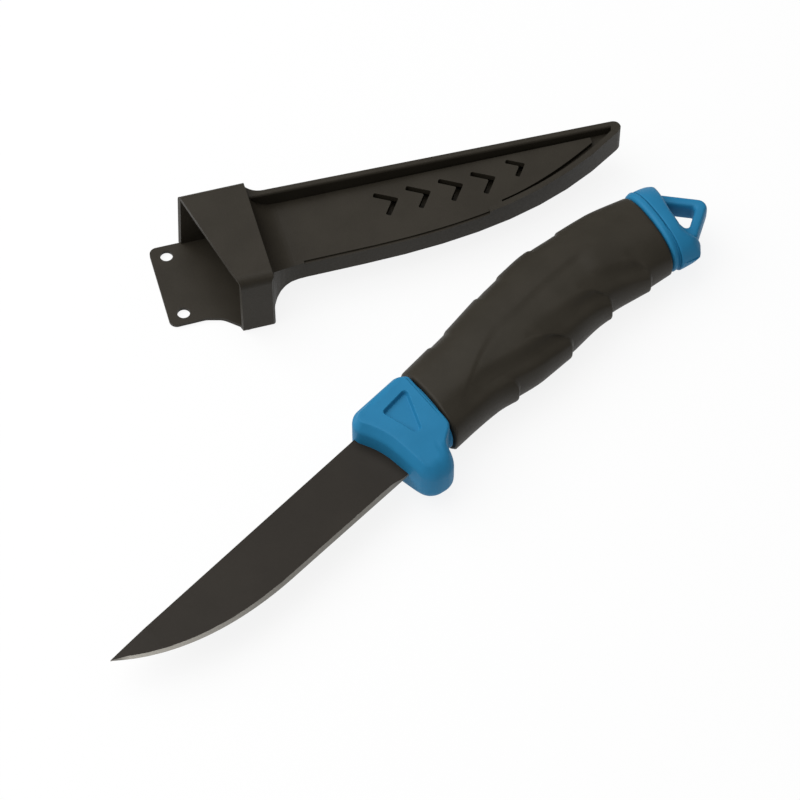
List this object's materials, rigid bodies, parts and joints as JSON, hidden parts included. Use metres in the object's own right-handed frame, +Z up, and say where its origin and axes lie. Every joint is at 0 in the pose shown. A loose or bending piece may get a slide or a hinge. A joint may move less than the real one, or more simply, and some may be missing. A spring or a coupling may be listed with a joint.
{
  "type": "fishing knife with sheath",
  "caption": "Fixed-blade fishing knife with a dark coated blade, blue guard and pommel, finger-hollowed rubber grip and lanyard loop, lying beside its hooded belt sheath.",
  "frame": {"origin": "middle of the footprint of the knife and sheath together, on the table", "axes": "+X from the blade's tip to the pommel, +Y from the cutting edge to the spine, +Z up from the table"},
  "size_m": [0.2408, 0.131, 0.0238],
  "materials": {
    "blade_steel": "matte dark coating, bare ground edge",
    "handle_plastic": "satin blue moulding",
    "grip_rubber": "matte soft rubber",
    "sheath_plastic": "fine-grained matte moulding"
  },
  "bodies": {
    "knife": {"blade": "blade_steel", "handle_core": "handle_plastic", "grip": "grip_rubber", "end_cap": "handle_plastic"},
    "sheath": {"sheath": "sheath_plastic"}
  },
  "joints": [
    {"name": "sheath_slide", "type": "slide", "parent": "knife", "child": "sheath", "axis": [-0.848, 0.5299, 0], "range_m": [0, 0.12]}
  ]
}
